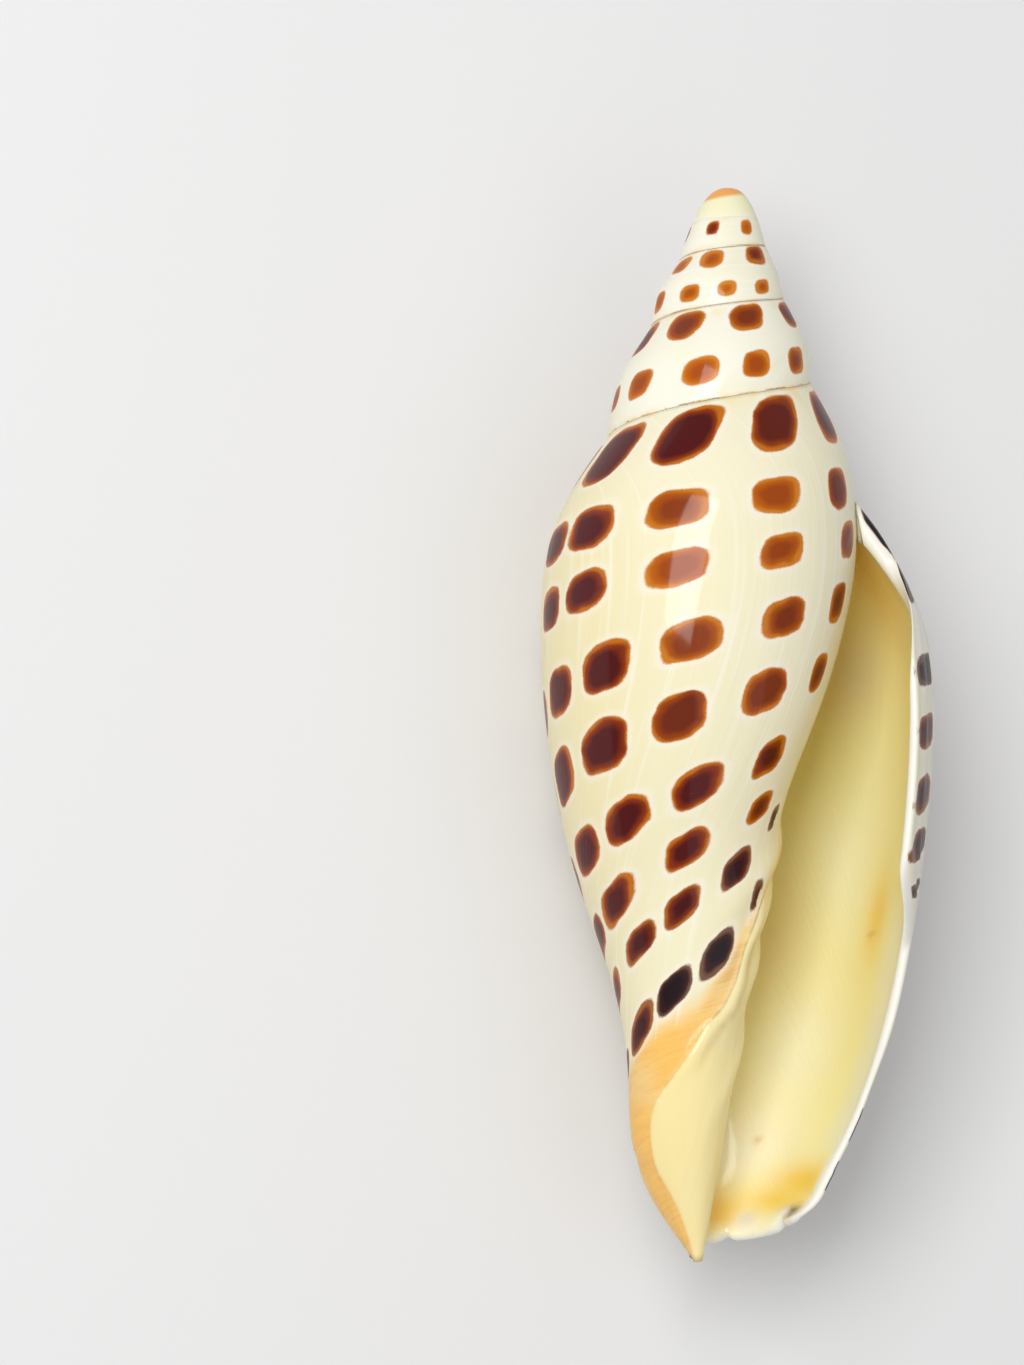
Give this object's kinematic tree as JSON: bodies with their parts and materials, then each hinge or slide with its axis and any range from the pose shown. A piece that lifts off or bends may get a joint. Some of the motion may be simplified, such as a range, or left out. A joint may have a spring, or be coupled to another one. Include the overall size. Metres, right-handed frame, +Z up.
{
  "type": "volute shell",
  "caption": "Spindle-shaped spiral seashell with a pointed spire and a long open aperture, lying on its back with the opening up.",
  "frame": {"origin": "centre of the bounding box's bottom face, on the surface that the shell lies on", "axes": "+Z up, away from the surface it lies on; +Y along the shell's axis towards the pointed apex; +X towards the outer lip"},
  "size_m": [0.0376, 0.1052, 0.0355],
  "materials": {
    "shell": "glossy natural shell, cream with rows of dark brown spots"
  },
  "bodies": {
    "root": {"shell": "shell"}
  },
  "joints": []
}
